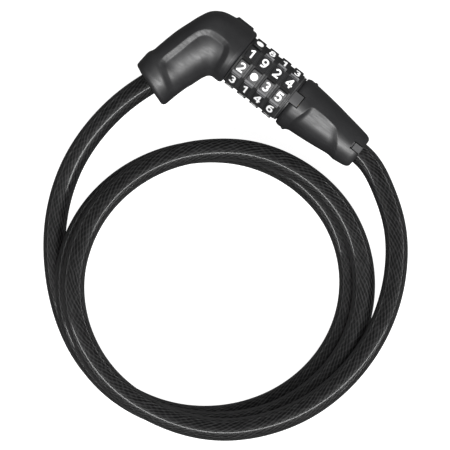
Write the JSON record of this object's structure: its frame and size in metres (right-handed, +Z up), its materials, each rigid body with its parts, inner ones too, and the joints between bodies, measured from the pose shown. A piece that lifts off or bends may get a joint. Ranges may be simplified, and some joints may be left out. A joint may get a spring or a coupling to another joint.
{
  "type": "combination cable lock",
  "caption": "Combination cable lock with number dials on a barrel, an elbow housing at one end, a pull-out plug at the other and a coiled jacketed steel cable between them.",
  "frame": {"origin": "bottom centre of the lock head (everything but the cable), on the surface it lies on", "axes": "+X along the dial barrel towards the plug, +Y away from the coil, +Z up from the surface"},
  "size_m": [0.2047, 0.2099, 0.0379],
  "materials": {
    "housing": "satin black moulded plastic with a fine texture",
    "index": "satin dark grey moulded plastic",
    "dial": "satin black moulded plastic with white printed numbers",
    "digit": "white printed numbers",
    "jacket": "glossy smoked clear vinyl over steel braid",
    "steel_rope": "stranded steel rope",
    "steel": "machined steel",
    "zinc": "die-cast zinc",
    "brass": "turned brass"
  },
  "bodies": {
    "lock_body": {"elbow_front_shell": "housing", "elbow_back_shell": "housing", "elbow_block": "zinc", "core_tube": "steel", "core_pin": "steel", "ferrule_elbow": "steel", "ferrule_pin_elbow": "steel", "detent_leaf": "steel", "ejector_spring": "steel", "end_washer": "steel", "index_collar": "index", "retaining_ring": "steel", "cable_jacket": "jacket", "steel_cable": "steel_rope"},
    "dial_1": {"dial_1": "dial", "code_ring_1": "brass"},
    "dial_2": {"dial_2": "dial", "code_ring_2": "brass"},
    "dial_3": {"dial_3": "dial", "code_ring_3": "brass"},
    "dial_4": {"dial_4": "dial", "code_ring_4": "brass"},
    "reset_sleeve": {"reset_sleeve": "brass"},
    "plug": {"plug_sleeve": "housing", "plug_insert": "zinc", "locking_bolt": "steel", "bolt_pin": "steel", "ferrule_plug": "steel", "ferrule_pin_plug": "steel", "cable_jacket_tail": "jacket", "steel_cable_tail": "steel_rope"}
  },
  "joints": [
    {"name": "plug_pull", "type": "slide", "parent": "lock_body", "child": "plug", "axis": [1, 0, 0], "range_m": [0, 0.046]},
    {"name": "dial_1_turn", "type": "hinge", "parent": "lock_body", "child": "dial_1", "pos_m": [-0.01655, 0.0141, 0.017], "axis": [1, 0, 0], "continuous": true},
    {"name": "dial_2_turn", "type": "hinge", "parent": "lock_body", "child": "dial_2", "pos_m": [-0.0079, 0.0141, 0.017], "axis": [1, 0, 0], "continuous": true},
    {"name": "dial_3_turn", "type": "hinge", "parent": "lock_body", "child": "dial_3", "pos_m": [0.00075, 0.0141, 0.017], "axis": [1, 0, 0], "continuous": true},
    {"name": "dial_4_turn", "type": "hinge", "parent": "lock_body", "child": "dial_4", "pos_m": [0.0094, 0.0141, 0.017], "axis": [1, 0, 0], "continuous": true},
    {"name": "reset_turn", "type": "hinge", "parent": "lock_body", "child": "reset_sleeve", "pos_m": [0.01825, 0.0141, 0.017], "axis": [1, 0, 0], "range_deg": [0, 90]}
  ]
}
